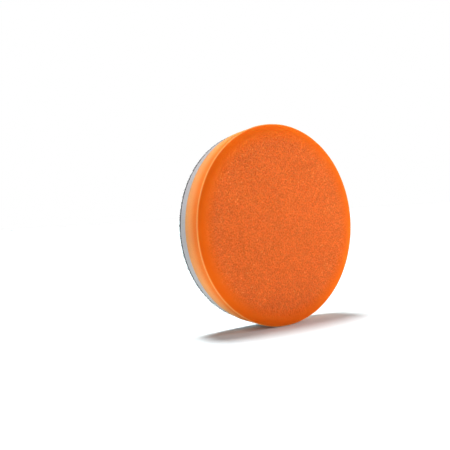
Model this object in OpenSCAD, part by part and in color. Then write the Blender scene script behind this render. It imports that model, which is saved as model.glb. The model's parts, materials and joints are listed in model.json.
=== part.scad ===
// Foam polishing pad for an orbital polisher, with a hook-and-loop back.
// The pad stands on its rim. Its spin axis lies along Y: the working face looks
// along -Y and the loop face along +Y. The origin is the centre of the loop face,
// at the mouth of the centring hole.

/* [Working foam] */
// Diameter at the corner between the shoulder and the side wall
face_d = 140; // [80:1:200]
// Thickness of the working foam, from its flat face to the glue behind it
face_foam_t = 17.6; // [8:0.2:40]
// Radial width of the rounded shoulder around the flat face
shoulder_w = 7.4; // [3:0.2:12]
// Height that the shoulder drops from the flat face to the corner
shoulder_h = 2.1; // [0.5:0.1:2.9]
// How far the foam's side wall leans in, from the corner to the interlayer
face_wall_lean = 1.4; // [0:0.1:4]

/* [Interlayer] */
// Thickness of the firm damping foam behind the working foam
interlayer_t = 7.6; // [3:0.2:15]
// How far the interlayer's side wall leans in towards the backing
interlayer_lean = 1.6; // [0:0.1:4]

/* [Loop backing] */
// Thickness of the knitted base cloth
loop_cloth_t = 0.6; // [0.3:0.1:1.5]
// Height of the brushed loops that stand on the base cloth
loop_nap_t = 1.1; // [0.5:0.1:3]
// How far the cloth is trimmed back from the interlayer's rear edge
loop_trim = 0.2; // [0:0.1:2]

/* [Glue films] */
// Thickness of each hot-melt film that bonds two layers
glue_t = 0.2; // [0.1:0.05:0.5]
// How far each film stops short of the rim
glue_setback = 0.3; // [0:0.1:2]

/* [Centring hole] */
// Diameter of the hole through the backing and the interlayer
hole_d = 28; // [10:1:50]

/* [Hidden] */
$fn = 180;

// Segments along the shoulder's arc
shoulder_steps = 8;

// Where each layer begins, counted from the loop face towards the working face
cloth_front = loop_nap_t + loop_cloth_t;
interlayer_back = cloth_front + glue_t;
interlayer_front = interlayer_back + interlayer_t;
foam_back = interlayer_front + glue_t;
foam_front = foam_back + face_foam_t;

// Radii of the rim, from the working face to the backing
corner_r = face_d / 2;
flat_r = corner_r - shoulder_w;
foam_back_r = corner_r - face_wall_lean;
interlayer_back_r = foam_back_r - interlayer_lean;
cloth_r = interlayer_back_r - loop_trim;
hole_r = hole_d / 2;

// The shoulder is one arc that leaves the flat face without a kink
shoulder_r = (shoulder_w * shoulder_w + shoulder_h * shoulder_h) / (2 * shoulder_h);
shoulder_angle = asin(shoulder_w / shoulder_r);

function shoulder_point(a) =
    [flat_r + shoulder_r * sin(a), foam_front - shoulder_r * (1 - cos(a))];

// Spins a profile of [radius, depth] points, with depth counted from the loop face
module turned(profile) {
    rotate([90, 0, 0])
        rotate_extrude()
            polygon(profile);
}

// A ring-shaped layer around the centring hole, with its own radius at the back and front
module ring_layer(back, front, back_r, front_r) {
    turned([
        [hole_r, back],
        [back_r, back],
        [front_r, front],
        [hole_r, front],
    ]);
}

// Open-cell foam disc that does the polishing. It closes the centring hole.
module face_foam() {
    color("#e1642e")
        turned(concat(
            [[0, foam_back], [foam_back_r, foam_back]],
            [for (i = [shoulder_steps:-1:0]) shoulder_point(shoulder_angle * i / shoulder_steps)],
            [[0, foam_front]]
        ));
}

// Glue between the working foam and the interlayer
module face_glue_film() {
    film_r = foam_back_r - glue_setback;
    color("#d8c9a8")
        ring_layer(interlayer_front, foam_back, film_r, film_r);
}

// Firm grey foam that takes up vibration and holds the pad flat
module interlayer_foam() {
    color("#b4b4b2")
        ring_layer(interlayer_back, interlayer_front, interlayer_back_r, foam_back_r);
}

// Glue between the interlayer and the loop cloth
module backing_glue_film() {
    film_r = cloth_r - glue_setback;
    color("#c9c4ba")
        ring_layer(cloth_front, interlayer_back, film_r, film_r);
}

// Knitted ground of the loop cloth
module loop_cloth() {
    color("#101012")
        ring_layer(loop_nap_t, cloth_front, cloth_r, cloth_r);
}

// Brushed loops that the hooks of the backing plate grip
module loop_nap() {
    color("#1b1b1e")
        ring_layer(0, loop_nap_t, cloth_r, cloth_r);
}

face_foam();
face_glue_film();
interlayer_foam();
backing_glue_film();
loop_cloth();
loop_nap();
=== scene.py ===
import json
import math
import random

import bmesh
import bpy
from mathutils import Matrix, Vector


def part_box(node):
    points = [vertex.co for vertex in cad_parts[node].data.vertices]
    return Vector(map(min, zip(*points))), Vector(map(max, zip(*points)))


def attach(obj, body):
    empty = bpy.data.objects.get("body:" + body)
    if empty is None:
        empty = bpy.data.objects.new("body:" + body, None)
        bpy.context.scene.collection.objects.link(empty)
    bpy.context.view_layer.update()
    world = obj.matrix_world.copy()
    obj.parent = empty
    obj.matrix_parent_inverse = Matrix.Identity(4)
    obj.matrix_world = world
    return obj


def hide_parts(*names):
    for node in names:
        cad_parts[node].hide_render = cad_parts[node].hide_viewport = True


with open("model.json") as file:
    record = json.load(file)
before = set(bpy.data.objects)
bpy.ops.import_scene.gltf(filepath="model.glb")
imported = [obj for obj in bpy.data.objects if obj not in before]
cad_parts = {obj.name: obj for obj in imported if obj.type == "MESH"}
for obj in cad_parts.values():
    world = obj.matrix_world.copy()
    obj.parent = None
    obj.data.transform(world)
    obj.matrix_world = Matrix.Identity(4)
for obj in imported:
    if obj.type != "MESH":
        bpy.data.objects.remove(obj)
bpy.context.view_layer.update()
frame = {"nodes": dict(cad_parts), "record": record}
mm = 0.001
print("frame loaded:", ", ".join(sorted(frame["nodes"])))

# Where the layers lie, read from the frame. The spin axis is Y and the working face looks along -Y.
foamLow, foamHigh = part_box("face_foam")
interLow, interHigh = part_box("interlayer_foam")
clothLow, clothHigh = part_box("loop_cloth")
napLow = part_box("loop_nap")[0]
frontGlueLow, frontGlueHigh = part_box("face_glue_film")
backGlueLow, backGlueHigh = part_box("backing_glue_film")
holeR = next(m["dims"]["r_mm"] for m in frame["record"]["mounts"] if m["name"] == "centring_hole") * mm

camera = {
    "place": (-0.3194, -0.3911, 0.0087),
    "aim": (-0.0477, -0.0252, 0.0027),
    "roll": -3.5,
    "lens": 56,
}

studio = {
    "skyMiddle": 0.42,      # light from straight ahead and behind
    "skyLeft": 1.25,
    "skyRight": 1.35,
    "skyOverhead": 0.12,    # share of that light that comes from above
    "backdrop": 1.0,
    "sunPower": 4.0,
    "sunSpread": 20,        # degrees: soft shadows
    "sunTilt": -11,         # degrees from overhead: the sun stands a little behind the pad
    "floorSize": 60.0,
    "floorColour": (0.82, 0.93, 0.96, 1),
}

# Soft boxes: place, aim, width, height, watts
softBoxes = {
    "rightFront": ((0.46, -0.24, 0.10), (0.06, 0, 0), 0.2, 0.3, 1.4),
}


def clearSelection():
    if bpy.context.mode != "OBJECT":
        bpy.ops.object.mode_set(mode="OBJECT")
    bpy.ops.object.select_all(action="DESELECT")


def makeActive(piece):
    clearSelection()
    piece.select_set(True)
    bpy.context.view_layer.objects.active = piece


def srgb(red, green, blue):
    def linear(value):
        value /= 255
        return value / 12.92 if value <= 0.04045 else ((value + 0.055) / 1.055) ** 2.4
    return (linear(red), linear(green), linear(blue), 1)


def addRing(name, radius, y, count):
    # A bare circle standing across the spin axis, ready to be grown in edit mode
    clearSelection()
    bpy.ops.mesh.primitive_circle_add(vertices=count, radius=radius, fill_type="NOTHING",
                                      location=(0, y, 0), rotation=(math.radians(90), 0, 0))
    ring = bpy.context.object
    ring.name = name
    bpy.ops.object.transform_apply(location=True, rotation=True, scale=True)
    bpy.ops.object.mode_set(mode="EDIT")
    bpy.ops.mesh.select_all(action="SELECT")
    return ring


def growRing(oldR, newR, oldY, newY):
    # Extrudes the selected loop to another radius and depth
    bpy.ops.mesh.extrude_edges_move(TRANSFORM_OT_translate={"value": (0, newY - oldY, 0)})
    share = newR / oldR
    bpy.ops.transform.resize(value=(share, 1, share), center_override=(0, newY, 0))


def selectEdges(piece, test):
    # Selects the edges that pass a test on their two ends
    bpy.ops.mesh.select_mode(type="EDGE")
    bpy.ops.mesh.select_all(action="DESELECT")
    mesh = bmesh.from_edit_mesh(piece.data)
    for edge in mesh.edges:
        edge.select_set(test(edge.verts[0].co, edge.verts[1].co))
    bmesh.update_edit_mesh(piece.data)


def axisR(point):
    return math.hypot(point.x, point.z)


def atR(radius, slack=0.02 * mm):
    return lambda a, b: abs(axisR(a) - radius) < slack and abs(axisR(b) - radius) < slack


def selectRim(piece, radius, y):
    # Selects the loop of edges at one radius and depth
    onRim = atR(radius)
    selectEdges(piece, lambda a, b: onRim(a, b) and abs(a.y - y) < 0.01 * mm and abs(b.y - y) < 0.01 * mm)


def halveRing(piece, radius, y, count):
    # Collapses every other edge of a rim, so that it goes on with half the points
    onRim = atR(radius)
    def everyOther(a, b):
        turn = math.atan2(a.z + b.z, a.x + b.x) % (2 * math.pi)
        return onRim(a, b) and int(turn / (2 * math.pi) * count) % 2 == 0
    selectEdges(piece, everyOther)
    bpy.ops.mesh.merge(type="COLLAPSE")
    selectRim(piece, radius, y)


def closeShape(piece):
    bpy.ops.mesh.select_all(action="SELECT")
    bpy.ops.mesh.remove_doubles(threshold=0.002 * mm)
    bpy.ops.mesh.normals_make_consistent(inside=False)
    bpy.ops.object.mode_set(mode="OBJECT")


def weighVertices(piece, groupName, weigh):
    # A vertex group whose weight follows each point's place, in 20 steps
    group = piece.vertex_groups.new(name=groupName)
    steps = {}
    for vertex in piece.data.vertices:
        steps.setdefault(round(weigh(vertex.co) * 20), []).append(vertex.index)
    for step, members in steps.items():
        group.add(members, step / 20, "REPLACE")


def carve(piece, name, kind, size, depth, groupName="", middle=0.5, **settings):
    # Pushes the surface in and out along its normals by a procedural texture
    texture = bpy.data.textures.new(name, kind)
    texture.noise_scale = size
    for key, value in settings.items():
        setattr(texture, key, value)
    displace = piece.modifiers.new(name, "DISPLACE")
    displace.texture = texture
    displace.texture_coords = "LOCAL"
    displace.direction = "NORMAL"
    displace.strength = depth
    displace.mid_level = middle
    displace.vertex_group = groupName
    makeActive(piece)
    bpy.ops.object.modifier_apply(modifier=name)


def clamp01(value):
    return max(0.0, min(1.0, value))


def newMaterial(name, roughness):
    material = bpy.data.materials.new(name)
    material.use_nodes = True
    tree = material.node_tree
    shader = tree.nodes["Principled BSDF"]
    shader.inputs["Roughness"].default_value = roughness
    shader.inputs["Specular IOR Level"].default_value = 0.25
    return material, tree, shader


def addNode(tree, kind, inputs=None, **settings):
    node = tree.nodes.new(kind)
    for key, value in settings.items():
        setattr(node, key, value)
    for key, value in (inputs or {}).items():
        if isinstance(value, bpy.types.NodeSocket):
            tree.links.new(value, node.inputs[key])
        else:
            node.inputs[key].default_value = value
    return node


def addRamp(tree, factor, stops):
    # A colour ramp from (place, colour) stops
    node = addNode(tree, "ShaderNodeValToRGB", {"Fac": factor})
    elements = node.color_ramp.elements
    while len(elements) > 2:
        elements.remove(elements[-1])
    for element, (place, colour) in zip(elements, (stops[0], stops[-1])):
        element.position = place
        element.color = colour
    for place, colour in stops[1:-1]:
        elements.new(place).color = colour
    return node.outputs["Color"]


def mixColour(tree, factor, first, second, blend="MIX"):
    node = addNode(tree, "ShaderNodeMix", data_type="RGBA", blend_type=blend)
    for socket, value in ((node.inputs[0], factor), (node.inputs[6], first), (node.inputs[7], second)):
        if isinstance(value, bpy.types.NodeSocket):
            tree.links.new(value, socket)
        else:
            socket.default_value = value
    return node.outputs[2]


def grey(value):
    return (value, value, value, 1)


def objectSpace(tree):
    return addNode(tree, "ShaderNodeTexCoord").outputs["Object"]


def radiusAndDepth(tree, space):
    # Distance from the spin axis and depth along it, in millimetres
    apart = addNode(tree, "ShaderNodeSeparateXYZ", {0: space})
    flat = addNode(tree, "ShaderNodeCombineXYZ", {"X": apart.outputs["X"], "Z": apart.outputs["Z"]})
    length = addNode(tree, "ShaderNodeVectorMath", {0: flat.outputs[0]}, operation="LENGTH")
    radius = addNode(tree, "ShaderNodeMath", {0: length.outputs["Value"], 1: 1000.0}, operation="MULTIPLY")
    depth = addNode(tree, "ShaderNodeMath", {0: apart.outputs["Y"], 1: 1000.0}, operation="MULTIPLY")
    return radius.outputs[0], depth.outputs[0]


def mapRange(tree, value, fromLow, fromHigh, toLow=0.0, toHigh=1.0):
    node = addNode(tree, "ShaderNodeMapRange", {"Value": value, "From Min": fromLow, "From Max": fromHigh,
                                                "To Min": toLow, "To Max": toHigh})
    return node.outputs["Result"]


def addNoise(tree, space, scale, detail, roughness=0.5):
    inputs = {"Vector": space, "Scale": scale, "Detail": detail, "Roughness": roughness}
    return addNode(tree, "ShaderNodeTexNoise", inputs).outputs["Fac"]


def addCells(tree, space, scale):
    return addNode(tree, "ShaderNodeTexVoronoi", {"Vector": space, "Scale": scale}, feature="F1")


def roughen(tree, shader, height, strength, distance):
    # A fine bump over the whole finish
    bump = addNode(tree, "ShaderNodeBump", {"Height": height, "Strength": strength, "Distance": distance})
    tree.links.new(bump.outputs["Normal"], shader.inputs["Normal"])


workingFoam = {
    "ringPoints": 1440,          # points round the rim, in fours
    "wallRings": 44,
    "thinningRs": (40 * mm, 22 * mm),  # where the hidden back halves its points
    "holeFloorR": holeR + 1.2 * mm,
    "shoulderWide": 7.4 * mm,
    "shoulderDrop": 2.1 * mm,
    "shoulderSteps": 16,
    "cornerRound": 0.5 * mm,
    "cellSize": 1.25 * mm,
    "cellDepth": 0.5 * mm,
    "wallCut": 0.4,              # how open the cells are on the side wall, against 1 on the flat face
    "poreSize": 2.6 * mm,
    "poreDepth": 0.22 * mm,
    "handWave": 0.25 * mm,
    "handWaveSize": 22 * mm,
}


def makeWorkingFoam():
    s = workingFoam
    frontY, backY = foamLow.y, foamHigh.y
    cornerR, backR = foamHigh.x, interHigh.x
    flatR = cornerR - s["shoulderWide"]
    cornerY = frontY + s["shoulderDrop"]
    pad = addRing("workingFoam", flatR, frontY, s["ringPoints"])
    bpy.ops.mesh.fill_grid(span=s["ringPoints"] // 4)
    bpy.ops.mesh.select_all(action="SELECT")
    bpy.ops.mesh.region_to_loop()
    # The shoulder is one arc that leaves the flat face without a kink
    arcR = (s["shoulderWide"] ** 2 + s["shoulderDrop"] ** 2) / (2 * s["shoulderDrop"])
    arcEnd = math.asin(s["shoulderWide"] / arcR)
    lastR, lastY = flatR, frontY
    for step in range(1, s["shoulderSteps"] + 1):
        angle = arcEnd * step / s["shoulderSteps"]
        nextR, nextY = flatR + arcR * math.sin(angle), frontY + arcR * (1 - math.cos(angle))
        growRing(lastR, nextR, lastY, nextY)
        lastR, lastY = nextR, nextY
    growRing(cornerR, backR, cornerY, backY)
    # The back needs fewer points towards the floor of the centring hole
    count, lastR = s["ringPoints"], backR
    for nextR in s["thinningRs"]:
        growRing(lastR, nextR, backY, backY)
        halveRing(pad, nextR, backY, count)
        count, lastR = count // 2, nextR
    growRing(lastR, s["holeFloorR"], backY, backY)
    bpy.ops.mesh.fill_grid(span=count // 4)
    selectEdges(pad, lambda a, b: abs(a.y - b.y) > 5 * mm)
    bpy.ops.mesh.subdivide_edgering(number_cuts=s["wallRings"], interpolation="LINEAR")
    selectEdges(pad, atR(cornerR))
    bpy.ops.mesh.bevel(offset=s["cornerRound"], segments=3, affect="EDGES", clamp_overlap=True)
    selectRim(pad, backR, backY)
    bpy.ops.mesh.mark_sharp()
    closeShape(pad)

    def openCells(point):
        # Cut cells are open on the flat face, the wall and the hole's floor, and sealed on the shoulder
        radius = axisR(point)
        if point.y > backY - 0.3 * mm:
            return 1.0 if radius < s["holeFloorR"] else 0.0
        if point.y > cornerY + 0.2 * mm:
            return s["wallCut"] * clamp01((point.y - cornerY) / (1.5 * mm))
        return 1 - 0.85 * clamp01((radius - flatR) / (4.5 * mm))

    weighVertices(pad, "openCells", openCells)
    carve(pad, "cells", "VORONOI", s["cellSize"], s["cellDepth"], "openCells", 1.0, noise_intensity=1.1)
    carve(pad, "pores", "CLOUDS", s["poreSize"], s["poreDepth"], "openCells", 0.9, noise_depth=1)
    carve(pad, "handWave", "CLOUDS", s["handWaveSize"], s["handWave"])
    pad.data.shade_smooth()
    return pad


orange = {
    "face": srgb(230, 104, 42),
    # The next two colours are painted shade in the cell cavities and a painted highlight on the struts
    "pitShade": srgb(206, 70, 14),
    "ridgeHighlight": srgb(244, 130, 64),
    "shoulder": srgb(242, 104, 16),
    # Painted highlight along the rounded corner
    "cornerHighlight": srgb(255, 166, 92),
    "wall": srgb(243, 120, 48),
    "wallMiddle": srgb(243, 150, 84),
    "wallBack": srgb(232, 154, 100),
    "glow": 0.5,                  # share of light that travels inside the foam
    "glowReach": 3.0 * mm,
    "glowColour": (1.0, 0.35, 0.12),
    "grainScale": 2100.0,
    "mottleScale": 1400.0,
    "patchScale": 45.0,
}


def workingFoamMaterial():
    s = workingFoam
    cornerR = foamHigh.x / mm
    flatR = cornerR - s["shoulderWide"] / mm
    cornerY = (foamLow.y + s["shoulderDrop"]) / mm
    material, tree, shader = newMaterial("openCellOrange", 0.9)
    shader.inputs["Specular IOR Level"].default_value = 0.05
    shader.inputs["Subsurface Weight"].default_value = orange["glow"]
    shader.inputs["Subsurface Radius"].default_value = orange["glowColour"]
    shader.inputs["Subsurface Scale"].default_value = orange["glowReach"]
    space = objectSpace(tree)
    radius, depth = radiusAndDepth(tree, space)
    # Painted shade makes the cavities deeper in colour and a painted highlight makes the struts between them
    # paler
    cavity = addNode(tree, "ShaderNodeNewGeometry").outputs["Pointiness"]
    cells = addRamp(tree, cavity, [(0.43, orange["pitShade"]), (0.495, orange["face"]), (0.56, orange["ridgeHighlight"])])
    # Each cell takes the light a little differently from the next
    cellTone = addCells(tree, space, 1.0 / s["cellSize"]).outputs["Color"]
    oneCell = addNode(tree, "ShaderNodeSeparateColor", {0: cellTone}).outputs[0]
    speckle = mapRange(tree, oneCell, 0.0, 1.0, 0.88, 1.1)
    mottle = addNoise(tree, space, orange["mottleScale"], 3.0, 0.6)
    fineTone = mapRange(tree, mottle, 0.3, 0.7, 0.9, 1.08)
    patches = addNoise(tree, space, orange["patchScale"], 2.0)
    broadTone = mapRange(tree, patches, 0.3, 0.7, 0.97, 1.03)
    face = mixColour(tree, 1.0, mixColour(tree, 1.0, cells, speckle, "MULTIPLY"), fineTone, "MULTIPLY")
    onShoulder = mapRange(tree, radius, flatR - 5.5, flatR + 4.0)
    face = mixColour(tree, onShoulder, face, orange["shoulder"])
    # A painted highlight: a pale line where the shoulder meets the cut wall
    onCornerHighlight = mapRange(tree, radius, cornerR - 0.9, cornerR - 0.2)
    face = mixColour(tree, onCornerHighlight, face, orange["cornerHighlight"])
    # The cut wall is paler towards the interlayer
    wallTone = addRamp(tree, mapRange(tree, depth, cornerY, foamHigh.y / mm),
                       [(0.0, orange["wall"]), (0.25, orange["wall"]), (0.6, orange["wallMiddle"]),
                        (1.0, orange["wallBack"])])
    wallTone = mixColour(tree, 0.6, wallTone, fineTone, "MULTIPLY")
    behindCorner = mapRange(tree, depth, cornerY + 0.2, cornerY + 0.8)
    outside = mapRange(tree, radius, 2 * holeR / mm, 3 * holeR / mm)
    onWall = addNode(tree, "ShaderNodeMath", {0: behindCorner, 1: outside}, operation="MULTIPLY")
    colour = mixColour(tree, onWall.outputs[0], face, wallTone)
    colour = mixColour(tree, 1.0, colour, broadTone, "MULTIPLY")
    tree.links.new(colour, shader.inputs["Base Color"])
    grain = addCells(tree, space, orange["grainScale"]).outputs["Distance"]
    roughen(tree, shader, grain, 0.35, 0.15 * mm)
    return material


interlayer = {
    "ringPoints": 1200,
    "wallRings": 20,
    "holeRings": 14,
    "cellSize": 0.62 * mm,
    "cellDepth": 0.16 * mm,
    "rearStep": 0.2 * mm,        # the rear edge stands this far outside the loop cloth
}


def makeInterlayer():
    s = interlayer
    frontY, backY = interLow.y, interHigh.y
    frontR, backR = interHigh.x, clothHigh.x + s["rearStep"]
    ring = addRing("interlayerFoam", holeR, frontY, s["ringPoints"])
    growRing(holeR, frontR, frontY, frontY)
    growRing(frontR, backR, frontY, backY)
    growRing(backR, holeR, backY, backY)
    growRing(holeR, holeR, backY, frontY)
    across = lambda a, b: abs(a.y - b.y) > 1 * mm
    selectEdges(ring, lambda a, b: across(a, b) and axisR(a) > 2 * holeR)
    bpy.ops.mesh.subdivide_edgering(number_cuts=s["wallRings"], interpolation="LINEAR")
    selectEdges(ring, lambda a, b: across(a, b) and axisR(a) < 2 * holeR)
    bpy.ops.mesh.subdivide_edgering(number_cuts=s["holeRings"], interpolation="LINEAR")
    for radius, y in ((frontR, frontY), (backR, backY), (holeR, backY), (holeR, frontY)):
        selectRim(ring, radius, y)
        bpy.ops.mesh.mark_sharp()
    closeShape(ring)
    weighVertices(ring, "cutWall", lambda point: clamp01(min(point.y - frontY, backY - point.y) / (0.4 * mm)))
    carve(ring, "smallCells", "VORONOI", s["cellSize"], s["cellDepth"], "cutWall", middle=0.9)
    ring.data.shade_smooth()
    return ring


lightGrey = {
    # Painted shade in the cell cavities
    "pitShade": srgb(142, 138, 140),
    "face": srgb(183, 177, 179),
    # Painted highlight on the cell struts
    "ridgeHighlight": srgb(202, 195, 197),
    "mottleScale": 2400.0,
    "grainScale": 3000.0,
}


def interlayerMaterial():
    material, tree, shader = newMaterial("fineCellGrey", 0.9)
    space = objectSpace(tree)
    # Painted shade deepens the cavities and a painted highlight pales the struts
    cavity = addNode(tree, "ShaderNodeNewGeometry").outputs["Pointiness"]
    stops = [(0.44, lightGrey["pitShade"]), (0.5, lightGrey["face"]), (0.55, lightGrey["ridgeHighlight"])]
    cells = addRamp(tree, cavity, stops)
    mottle = addNoise(tree, space, lightGrey["mottleScale"], 3.0, 0.65)
    tone = mapRange(tree, mottle, 0.3, 0.7, 0.86, 1.1)
    tree.links.new(mixColour(tree, 1.0, cells, tone, "MULTIPLY"), shader.inputs["Base Color"])
    grain = addCells(tree, space, lightGrey["grainScale"]).outputs["Distance"]
    roughen(tree, shader, grain, 0.35, 0.1 * mm)
    return material


glue = {
    "rimPoints": 900,
    "bead": 0.1 * mm,
    "squeeze": 0.28 * mm,        # how unevenly the bead swells out towards the rim
    "waveSize": 3.0 * mm,
}


def makeGlueFilm(name, low, high):
    # A flat ring with a bead at its outer edge, where the melt was squeezed out
    s = glue
    middle = (low.y + high.y) / 2
    beadR = high.x + s["bead"]
    film = addRing(name, holeR, low.y, s["rimPoints"])
    growRing(holeR, high.x, low.y, low.y)
    growRing(high.x, beadR, low.y, middle)
    growRing(beadR, high.x, middle, high.y)
    growRing(high.x, holeR, high.y, high.y)
    growRing(holeR, holeR, high.y, low.y)
    closeShape(film)
    weighVertices(film, "bead", lambda point: 1.0 if axisR(point) > high.x + s["bead"] / 2 else 0.0)
    carve(film, name + "Wave", "CLOUDS", s["waveSize"], s["squeeze"], "bead", middle=0.25)
    film.data.shade_smooth()
    return film


def glueMaterial():
    material, tree, shader = newMaterial("hotMeltGlue", 0.45)
    space = objectSpace(tree)
    melt = addNoise(tree, space, 350.0, 2.0)
    tone = addRamp(tree, melt, [(0.35, srgb(168, 142, 122)), (0.65, srgb(206, 186, 168))])
    tree.links.new(tone, shader.inputs["Base Color"])
    return material


loopCloth = {
    "rimPoints": 1200,
    "rings": 5,
    "frayDepth": 0.3 * mm,
    "fraySize": 0.5 * mm,
}


def makeClothRing(name, frontY, backY):
    # A flat ring of cloth with a cut, slightly frayed rim
    s = loopCloth
    rimR = clothHigh.x
    cloth = addRing(name, holeR, frontY, s["rimPoints"])
    growRing(holeR, rimR, frontY, frontY)
    growRing(rimR, rimR, frontY, backY)
    lastR = rimR
    for step in range(1, s["rings"] + 1):
        nextR = rimR + (holeR - rimR) * step / s["rings"]
        growRing(lastR, nextR, backY, backY)
        lastR = nextR
    growRing(holeR, holeR, backY, frontY)
    for radius, y in ((rimR, frontY), (holeR, frontY), (holeR, backY)):
        selectRim(cloth, radius, y)
        bpy.ops.mesh.mark_sharp()
    closeShape(cloth)
    atEdge = lambda point: 1.0 if axisR(point) > rimR - 0.1 * mm and point.y > frontY + 0.1 * mm else 0.0
    weighVertices(cloth, "rim", atEdge)
    carve(cloth, "fray", "CLOUDS", s["fraySize"], s["frayDepth"], "rim")
    cloth.data.shade_smooth()
    return cloth


def blackYarnMaterial(name, dark, light, rowShare):
    material, tree, shader = newMaterial(name, 0.95)
    shader.inputs["Specular IOR Level"].default_value = 0.06
    shader.inputs["Sheen Weight"].default_value = 0.02
    shader.inputs["Sheen Roughness"].default_value = 0.5
    space = objectSpace(tree)
    # Rows of the knit, blurred by the brushing across them
    weave = {"Vector": space, "Scale": 330.0, "Distortion": 5.0, "Detail": 3.0}
    wave = addNode(tree, "ShaderNodeTexWave", weave, bands_direction="Z")
    rows = mapRange(tree, wave.outputs["Fac"], 0.0, 1.0, 1.0 - rowShare, 1.0)
    fuzz = addNoise(tree, space, 900.0, 4.0, 0.7)
    blend = addNode(tree, "ShaderNodeMath", {0: rows, 1: fuzz}, operation="MULTIPLY").outputs[0]
    yarn = addRamp(tree, blend, [(0.1, dark), (0.7, light)])
    # The tips of standing loops are a little paler
    depth = radiusAndDepth(tree, space)[1]
    tips = mapRange(tree, depth, -0.8, -0.1, 1.0, 3.0)
    tree.links.new(mixColour(tree, 1.0, yarn, tips, "MULTIPLY"), shader.inputs["Base Color"])
    roughen(tree, shader, blend, 0.6, 0.2 * mm)
    return material


nap = {
    "rowPitch": 1.55 * mm,
    "loopPitch": 1.7 * mm,
    "rimPitch": 0.7 * mm,
    "loopR": 0.5 * mm,
    "yarnR": 0.13 * mm,
    "height": 1.25 * mm,
    "shuffle": 0.3,              # how far a loop strays from its place, as a share of the pitch
    "footDepth": 0.15 * mm,      # how far the feet sink into the cloth
    "matHigh": 0.3 * mm,         # low mat of flattened loops between the standing ones
    "lean": 38,                  # degrees that a brushed loop may lean
    "seed": 7,
}


def makeOneLoop():
    # An arch of yarn, standing along Y on its two feet
    s = nap
    clearSelection()
    bpy.ops.mesh.primitive_torus_add(major_segments=7, minor_segments=3, major_radius=s["loopR"],
                                     minor_radius=s["yarnR"], location=(0, 0, 0))
    loop = bpy.context.object
    bpy.ops.object.mode_set(mode="EDIT")
    bpy.ops.mesh.select_all(action="SELECT")
    footLine = -0.55 * s["loopR"]
    bpy.ops.mesh.bisect(plane_co=(0, footLine, 0), plane_no=(0, 1, 0), use_fill=True, clear_inner=True)
    bpy.ops.mesh.select_all(action="SELECT")
    bpy.ops.transform.translate(value=(0, -footLine, 0))
    bpy.ops.mesh.normals_make_consistent(inside=False)
    bpy.ops.object.mode_set(mode="OBJECT")
    return loop


def plantLoop(field, loop, pick, x, z, lean, turn):
    # Copies the loop into the field, a little taller or wider than its neighbours
    s = nap
    tall = s["height"] / loop.dimensions.y * pick.uniform(0.72, 1.0)
    wide = pick.uniform(0.8, 1.3)
    shape = (Matrix.Translation((x, clothHigh.y - s["footDepth"], z)) @ Matrix.Rotation(turn, 4, "Y")
             @ Matrix.Rotation(lean, 4, "X") @ Matrix.Diagonal((wide, tall, 1, 1)))
    copy = loop.data.copy()
    copy.transform(shape)
    field.from_mesh(copy)
    bpy.data.meshes.remove(copy)


def makeNap():
    s = nap
    pick = random.Random(s["seed"])
    rimR = clothHigh.x
    made = makeClothRing("loopNap", napLow.y, napLow.y + s["matHigh"])
    loop = makeOneLoop()
    field = bmesh.new()
    field.from_mesh(made.data)
    rows = int(rimR / s["rowPitch"]) + 1
    columns = int(rimR / s["loopPitch"]) + 1
    for row in range(-rows, rows + 1):
        for column in range(-columns, columns + 1):
            x = (column + 0.5 * (row % 2) + pick.uniform(-s["shuffle"], s["shuffle"])) * s["loopPitch"]
            z = (row + pick.uniform(-s["shuffle"], s["shuffle"])) * s["rowPitch"]
            lean = math.radians(s["lean"]) * pick.uniform(-1, 1)
            if holeR + 0.35 * mm < math.hypot(x, z) < rimR - 0.8 * mm:
                plantLoop(field, loop, pick, x, z, lean, pick.uniform(0, math.pi))
    # The cut rim is fuzzier: its loops stand closer and are combed outwards
    count = int(2 * math.pi * rimR / s["rimPitch"])
    for index in range(count):
        angle = 2 * math.pi * (index + pick.uniform(-s["shuffle"], s["shuffle"])) / count
        radius = rimR - pick.uniform(0.1, 0.5) * mm
        lean = math.radians(s["lean"]) * pick.uniform(0.5, 1.5)
        plantLoop(field, loop, pick, radius * math.sin(angle), radius * math.cos(angle), lean,
                  angle + pick.uniform(-0.7, 0.7))
    field.to_mesh(made.data)
    field.free()
    bpy.data.objects.remove(loop)
    made.data.shade_smooth()
    return made


def lookAt(place, aim, roll=0.0):
    # Stands at one point and looks at another, turned by roll degrees round the line of sight
    place, aim = Vector(place), Vector(aim)
    turn = (aim - place).to_track_quat("-Z", "Y").to_matrix().to_4x4()
    return Matrix.Translation(place) @ turn @ Matrix.Rotation(math.radians(roll), 4, "Z")


def addCamera():
    data = bpy.data.cameras.new("camera")
    data.lens = camera["lens"]
    data.sensor_width = 36
    data.clip_start = 0.01
    made = bpy.data.objects.new("camera", data)
    made.matrix_world = lookAt(camera["place"], camera["aim"], camera["roll"])
    bpy.context.scene.collection.objects.link(made)
    bpy.context.scene.camera = made


def addSoftBox(name, place, aim, width, height, watts):
    data = bpy.data.lights.new(name, "AREA")
    data.shape = "RECTANGLE"
    data.size, data.size_y = width, height
    data.energy = watts
    lamp = bpy.data.objects.new(name, data)
    lamp.matrix_world = lookAt(place, aim)
    bpy.context.scene.collection.objects.link(lamp)


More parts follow.
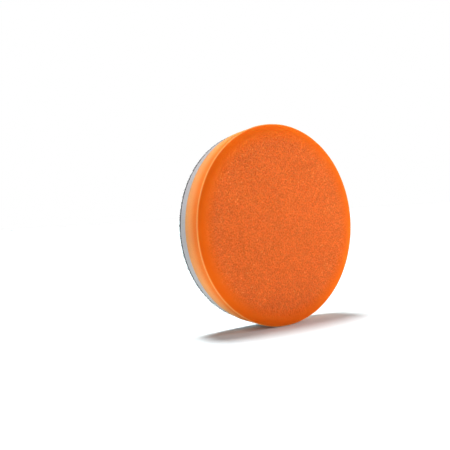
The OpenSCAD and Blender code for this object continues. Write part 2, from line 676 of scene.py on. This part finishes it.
def addStudio():
    world = bpy.data.worlds.new("paleRoom")
    bpy.context.scene.world = world
    world.use_nodes = True
    tree = world.node_tree
    tree.nodes.clear()
    seen = addNode(tree, "ShaderNodeBackground", {"Color": grey(1.0), "Strength": studio["backdrop"]})
    heading = addNode(tree, "ShaderNodeTexCoord").outputs["Generated"]
    sky = addNode(tree, "ShaderNodeSeparateXYZ", {0: heading})
    left = mapRange(tree, sky.outputs["X"], 0.0, -1.0, studio["skyMiddle"], studio["skyLeft"])
    right = mapRange(tree, sky.outputs["X"], 0.0, 1.0, studio["skyMiddle"], studio["skyRight"])
    around = addNode(tree, "ShaderNodeMath", {0: left, 1: right}, operation="MAXIMUM").outputs[0]
    above = mapRange(tree, sky.outputs["Z"], 0.0, 0.6, 1.0, studio["skyOverhead"])
    strength = addNode(tree, "ShaderNodeMath", {0: around, 1: above}, operation="MULTIPLY").outputs[0]
    lit = addNode(tree, "ShaderNodeBackground", {"Color": grey(1.0), "Strength": strength})
    inView = addNode(tree, "ShaderNodeLightPath").outputs["Is Camera Ray"]
    both = addNode(tree, "ShaderNodeMixShader", {0: inView, 1: lit.outputs[0], 2: seen.outputs[0]})
    addNode(tree, "ShaderNodeOutputWorld", {"Surface": both.outputs[0]})
    for name, box in softBoxes.items():
        addSoftBox(name, *box)
    sun = bpy.data.objects.new("sun", bpy.data.lights.new("sun", "SUN"))
    sun.data.energy = studio["sunPower"]
    sun.data.angle = math.radians(studio["sunSpread"])
    sun.rotation_euler.x = math.radians(studio["sunTilt"])
    bpy.context.scene.collection.objects.link(sun)
    clearSelection()
    bpy.ops.mesh.primitive_plane_add(size=studio["floorSize"], location=(0, 0, foamLow.z))
    floor = bpy.context.object
    floor.name = "floor"
    material, tree, shader = newMaterial("paleFloor", 0.9)
    shader.inputs["Base Color"].default_value = studio["floorColour"]
    floor.data.materials.append(material)


bpy.context.scene.view_settings.view_transform = "Standard"
addCamera()
addStudio()
print("camera and studio ready")


def finishPiece(piece, material, node):
    piece.data.materials.clear()
    piece.data.materials.append(material)
    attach(piece, "root")
    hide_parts(node)
    print(piece.name, "made:", len(piece.data.polygons), "faces")


foamPad = makeWorkingFoam()
finishPiece(foamPad, workingFoamMaterial(), "face_foam")

greyRing = makeInterlayer()
finishPiece(greyRing, interlayerMaterial(), "interlayer_foam")

melt = glueMaterial()
frontGlue = makeGlueFilm("frontGlueFilm", frontGlueLow, frontGlueHigh)
finishPiece(frontGlue, melt, "face_glue_film")
backGlue = makeGlueFilm("backGlueFilm", backGlueLow, backGlueHigh)
finishPiece(backGlue, melt, "backing_glue_film")

cloth = makeClothRing("loopCloth", clothLow.y, clothHigh.y)
blackKnit = blackYarnMaterial("blackKnit", srgb(8, 8, 9), srgb(22, 22, 24), 0.9)
finishPiece(cloth, blackKnit, "loop_cloth")

loops = makeNap()
brushedLoops = blackYarnMaterial("brushedLoops", srgb(9, 9, 10), srgb(30, 30, 33), 0.3)
finishPiece(loops, brushedLoops, "loop_nap")
